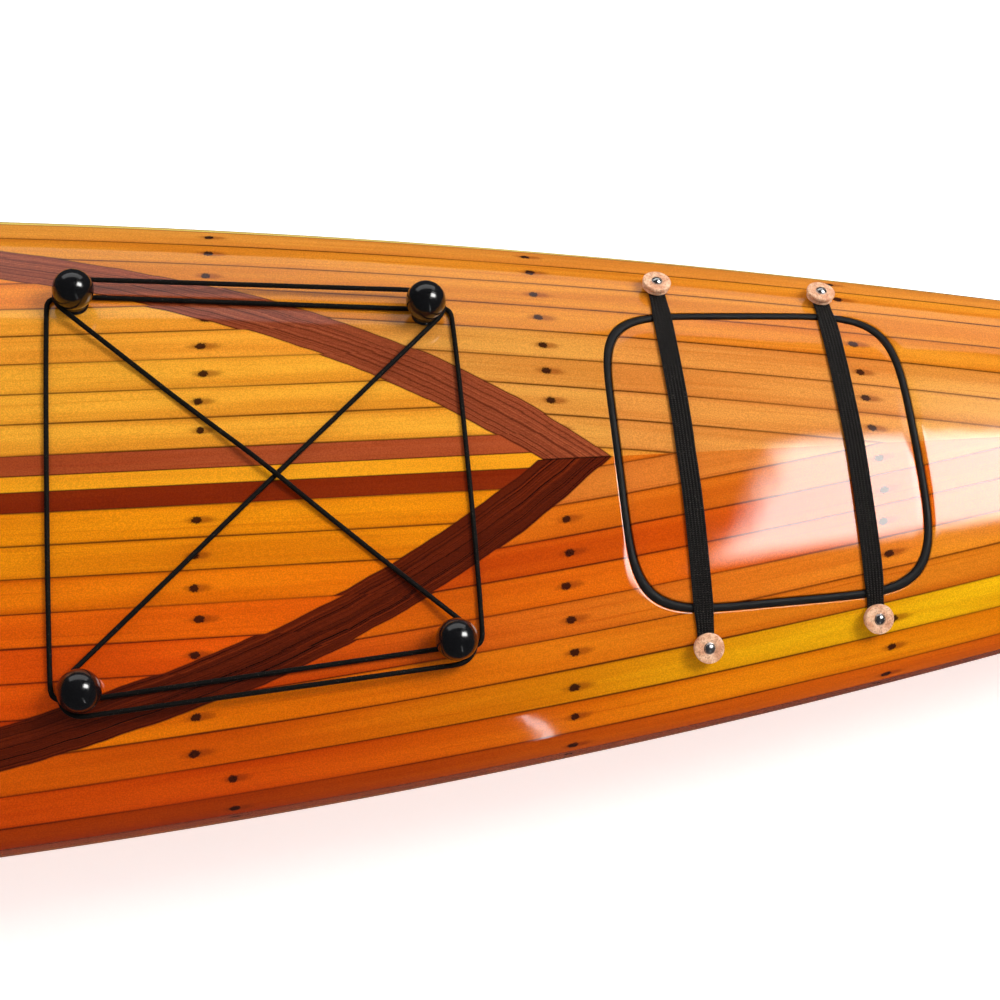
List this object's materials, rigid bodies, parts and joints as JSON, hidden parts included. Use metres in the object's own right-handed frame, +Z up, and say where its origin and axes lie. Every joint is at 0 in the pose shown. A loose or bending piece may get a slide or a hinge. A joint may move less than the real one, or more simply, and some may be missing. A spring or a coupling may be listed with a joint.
{
  "type": "decked canoe",
  "caption": "Cedar-strip decked canoe (sea kayak) with strapped hatches, bungee deck rigging on ball knobs, a cockpit with seat and foot braces, and end toggles.",
  "frame": {"origin": "on the ground under the middle of the keel, amidships", "axes": "+X towards the bow, +Y to port, +Z up"},
  "size_m": [4.7992, 0.601, 0.3578],
  "materials": {
    "cedar_deck": "gloss varnish over cedar strips",
    "cedar_hull": "gloss varnish over cedar strips",
    "cedar_cover": "gloss varnish over cedar strips",
    "walnut": "gloss varnish",
    "mahogany": "gloss varnish",
    "plywood": "satin varnish",
    "pale_wood": "bare satin",
    "toggle_wood": "gloss varnish",
    "rubber": "satin",
    "elastic": "ribbed weave",
    "cord": "braided",
    "black_gloss": "satin gloss",
    "black_plastic": "textured",
    "seat_fabric": "woven",
    "steel": "polished",
    "alloy": "anodised satin",
    "brass": "polished"
  },
  "bodies": {
    "hull": {"hull_port_side": "cedar_hull", "hull_starboard_side": "cedar_hull", "bilges_stern": "cedar_hull", "bilges_mid": "cedar_hull", "bilges_fore": "cedar_hull", "bilges_bow": "cedar_hull", "bottom_stern": "cedar_hull", "bottom_mid": "cedar_hull", "bottom_bow": "cedar_hull", "deck_shell": "cedar_deck", "bow_block": "walnut", "stern_block": "walnut", "keel_strip": "walnut", "bow_bulkhead": "plywood", "stern_bulkhead": "plywood", "coaming_riser": "mahogany", "coaming_lip": "walnut", "bow_hatch_rim": "plywood", "bow_hatch_gasket": "rubber", "stern_hatch_rim": "plywood", "stern_hatch_gasket": "rubber", "bow_strap_aft": "elastic", "bow_strap_fore": "elastic", "stern_strap_aft": "elastic", "stern_strap_fore": "elastic", "bow_strap_discs": "pale_wood", "stern_strap_discs": "pale_wood", "bow_strap_screws": "steel", "stern_strap_screws": "steel", "knob_balls": "black_gloss", "knob_necks": "black_gloss", "knob_screws": "steel", "bungee_cross": "cord", "bungee_square": "cord", "seat_bearers": "plywood", "seat_pan": "plywood", "seat_cushion": "seat_fabric", "backrest_lugs": "steel", "backrest_pin": "steel", "port_foot_rail": "alloy", "port_rail_studs": "steel", "starboard_foot_rail": "alloy", "starboard_rail_studs": "steel", "bow_eyelet": "brass", "stern_eyelet": "brass"},
    "bow_hatch": {"bow_hatch_cover": "cedar_cover", "bow_hatch_stiffener": "mahogany"},
    "stern_hatch": {"stern_hatch_cover": "cedar_cover", "stern_hatch_stiffener": "mahogany"},
    "backrest": {"backrest_board": "plywood", "backrest_pad": "seat_fabric"},
    "port_footrest": {"port_pedal": "black_plastic"},
    "starboard_footrest": {"starboard_pedal": "black_plastic"},
    "bow_toggle": {"bow_toggle_bar": "toggle_wood", "bow_toggle_cord": "cord"},
    "stern_toggle": {"stern_toggle_bar": "toggle_wood", "stern_toggle_cord": "cord"}
  },
  "joints": [
    {"name": "bow_hatch_lift", "type": "slide", "parent": "hull", "child": "bow_hatch", "axis": [0, 0, 1], "range_m": [0, 0.06], "deforming": ["bow_strap_aft", "bow_strap_fore"]},
    {"name": "stern_hatch_lift", "type": "slide", "parent": "hull", "child": "stern_hatch", "axis": [0, 0, 1], "range_m": [0, 0.06], "deforming": ["stern_strap_aft", "stern_strap_fore"]},
    {"name": "backrest_tilt", "type": "hinge", "parent": "hull", "child": "backrest", "pos_m": [-0.378, 0, 0.096], "axis": [0, 1, 0], "range_deg": [-6, 50]},
    {"name": "port_pedal_slide", "type": "slide", "parent": "hull", "child": "port_footrest", "axis": [1, 0, 0], "range_m": [-0.12, 0.12]},
    {"name": "starboard_pedal_slide", "type": "slide", "parent": "hull", "child": "starboard_footrest", "axis": [1, 0, 0], "range_m": [-0.12, 0.12]},
    {"name": "bow_toggle_swing", "type": "hinge", "parent": "hull", "child": "bow_toggle", "pos_m": [2.352, 0, 0.318], "axis": [0, 1, 0], "range_deg": [0, 205]},
    {"name": "stern_toggle_swing", "type": "hinge", "parent": "hull", "child": "stern_toggle", "pos_m": [-2.352, 0, 0.318], "axis": [0, -1, 0], "range_deg": [0, 205]}
  ]
}
